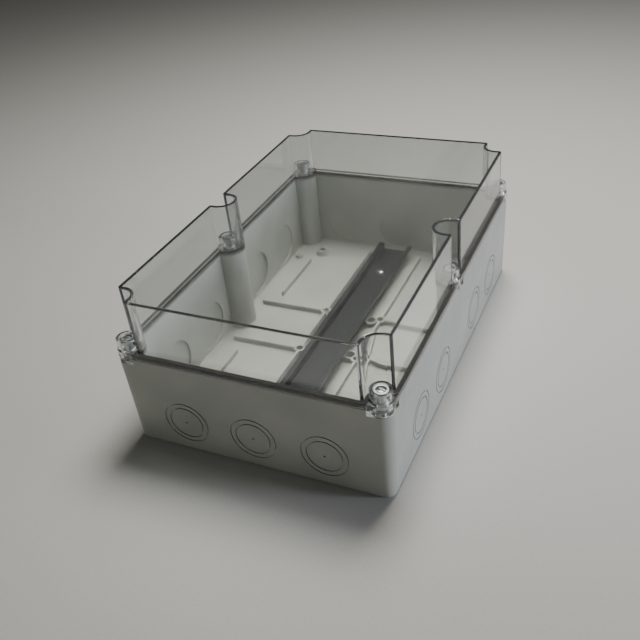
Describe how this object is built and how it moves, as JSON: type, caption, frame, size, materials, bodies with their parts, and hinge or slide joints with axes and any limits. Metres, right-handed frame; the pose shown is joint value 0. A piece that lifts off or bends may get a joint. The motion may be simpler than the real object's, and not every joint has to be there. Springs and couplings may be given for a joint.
{
  "type": "dc combiner box",
  "caption": "Rectangular moulded enclosure with knockouts, a deep clear lid held by captive screws, a seal and a DIN rail inside.",
  "frame": {"origin": "middle of the footprint, on the face that goes against the wall", "axes": "+Z out of the wall, from the base to the lid; +Y along the longer side; +X along the shorter side"},
  "size_m": [0.22, 0.33, 0.1325],
  "materials": {
    "base_grey": "fine moulded, light grey",
    "lid_clear": "clear polycarbonate, polished",
    "gasket_rubber": "matt",
    "screw_metal": "plated",
    "seal_rubber": "matt",
    "brass": "machined",
    "rail_steel": "dark passivated",
    "rail_screw_steel": "zinc plated"
  },
  "bodies": {
    "base": {"base_shell": "base_grey", "insert_front_left": "brass", "insert_front_right": "brass", "insert_middle_left": "brass", "insert_middle_right": "brass", "insert_rear_left": "brass", "insert_rear_right": "brass", "din_rail": "rail_steel", "rail_screw_front": "rail_screw_steel", "rail_screw_rear": "rail_screw_steel"},
    "lid": {"lid_shell": "lid_clear", "lid_gasket": "gasket_rubber"},
    "seal_front_left": {"screw_seal_front_left": "seal_rubber"},
    "screw_front_left": {"lid_screw_front_left": "screw_metal"},
    "seal_front_right": {"screw_seal_front_right": "seal_rubber"},
    "screw_front_right": {"lid_screw_front_right": "screw_metal"},
    "seal_middle_left": {"screw_seal_middle_left": "seal_rubber"},
    "screw_middle_left": {"lid_screw_middle_left": "screw_metal"},
    "seal_middle_right": {"screw_seal_middle_right": "seal_rubber"},
    "screw_middle_right": {"lid_screw_middle_right": "screw_metal"},
    "seal_rear_left": {"screw_seal_rear_left": "seal_rubber"},
    "screw_rear_left": {"lid_screw_rear_left": "screw_metal"},
    "seal_rear_right": {"screw_seal_rear_right": "seal_rubber"},
    "screw_rear_right": {"lid_screw_rear_right": "screw_metal"}
  },
  "joints": [
    {"name": "lid_lift", "type": "slide", "parent": "base", "child": "lid", "axis": [0, 0, 1], "range_m": [0, 0.12]},
    {"name": "rise_front_left", "type": "slide", "parent": "lid", "child": "seal_front_left", "axis": [0, 0, 1], "range_m": [0, 0.008]},
    {"name": "turn_front_left", "type": "hinge", "parent": "seal_front_left", "child": "screw_front_left", "pos_m": [-0.101, -0.156, 0.09], "axis": [0, 0, 1], "range_deg": [0, 3601]},
    {"name": "rise_front_right", "type": "slide", "parent": "lid", "child": "seal_front_right", "axis": [0, 0, 1], "range_m": [0, 0.008]},
    {"name": "turn_front_right", "type": "hinge", "parent": "seal_front_right", "child": "screw_front_right", "pos_m": [0.101, -0.156, 0.09], "axis": [0, 0, 1], "range_deg": [0, 3601]},
    {"name": "rise_middle_left", "type": "slide", "parent": "lid", "child": "seal_middle_left", "axis": [0, 0, 1], "range_m": [0, 0.008]},
    {"name": "turn_middle_left", "type": "hinge", "parent": "seal_middle_left", "child": "screw_middle_left", "pos_m": [-0.101, 0, 0.09], "axis": [0, 0, 1], "range_deg": [0, 3601]},
    {"name": "rise_middle_right", "type": "slide", "parent": "lid", "child": "seal_middle_right", "axis": [0, 0, 1], "range_m": [0, 0.008]},
    {"name": "turn_middle_right", "type": "hinge", "parent": "seal_middle_right", "child": "screw_middle_right", "pos_m": [0.101, 0, 0.09], "axis": [0, 0, 1], "range_deg": [0, 3601]},
    {"name": "rise_rear_left", "type": "slide", "parent": "lid", "child": "seal_rear_left", "axis": [0, 0, 1], "range_m": [0, 0.008]},
    {"name": "turn_rear_left", "type": "hinge", "parent": "seal_rear_left", "child": "screw_rear_left", "pos_m": [-0.101, 0.156, 0.09], "axis": [0, 0, 1], "range_deg": [0, 3601]},
    {"name": "rise_rear_right", "type": "slide", "parent": "lid", "child": "seal_rear_right", "axis": [0, 0, 1], "range_m": [0, 0.008]},
    {"name": "turn_rear_right", "type": "hinge", "parent": "seal_rear_right", "child": "screw_rear_right", "pos_m": [0.101, 0.156, 0.09], "axis": [0, 0, 1], "range_deg": [0, 3601]}
  ],
  "couplings": [
    {"joint": "turn_front_left", "follows": "rise_front_left", "rad_per_m": 7854},
    {"joint": "turn_front_right", "follows": "rise_front_right", "rad_per_m": 7854},
    {"joint": "turn_middle_left", "follows": "rise_middle_left", "rad_per_m": 7854},
    {"joint": "turn_middle_right", "follows": "rise_middle_right", "rad_per_m": 7854},
    {"joint": "turn_rear_left", "follows": "rise_rear_left", "rad_per_m": 7854},
    {"joint": "turn_rear_right", "follows": "rise_rear_right", "rad_per_m": 7854}
  ]
}
